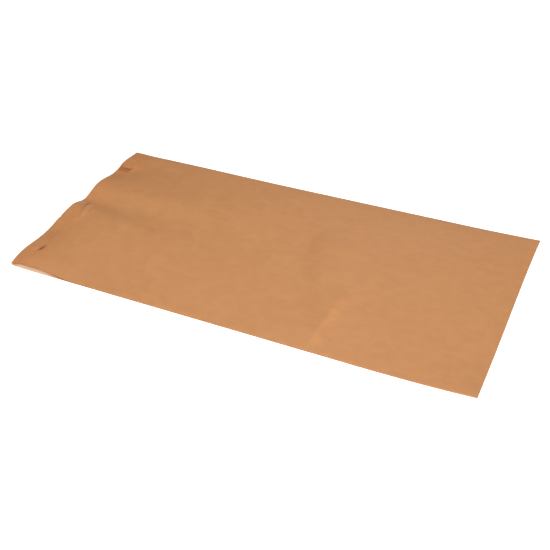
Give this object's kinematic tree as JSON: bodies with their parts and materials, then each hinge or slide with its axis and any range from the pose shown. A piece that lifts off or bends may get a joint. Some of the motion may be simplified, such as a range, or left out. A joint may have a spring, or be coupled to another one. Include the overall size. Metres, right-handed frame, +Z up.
{
  "type": "paper bakery bag",
  "caption": "Flat, empty paper bakery bag with side gussets and a folded, glued bottom, lying on its side with its mouth shut.",
  "frame": {"origin": "middle of the bag's box, on the surface that it lies on", "axes": "+X from the closed bottom to the mouth, +Y across the bag to the far long edge, +Z up"},
  "size_m": [0.5114, 0.25, 0.0095],
  "materials": {
    "kraft_paper": "plain unprinted brown kraft paper, machine-finished, with a faint sheen"
  },
  "bodies": {
    "root": {"paper_bag": "kraft_paper"}
  },
  "joints": []
}
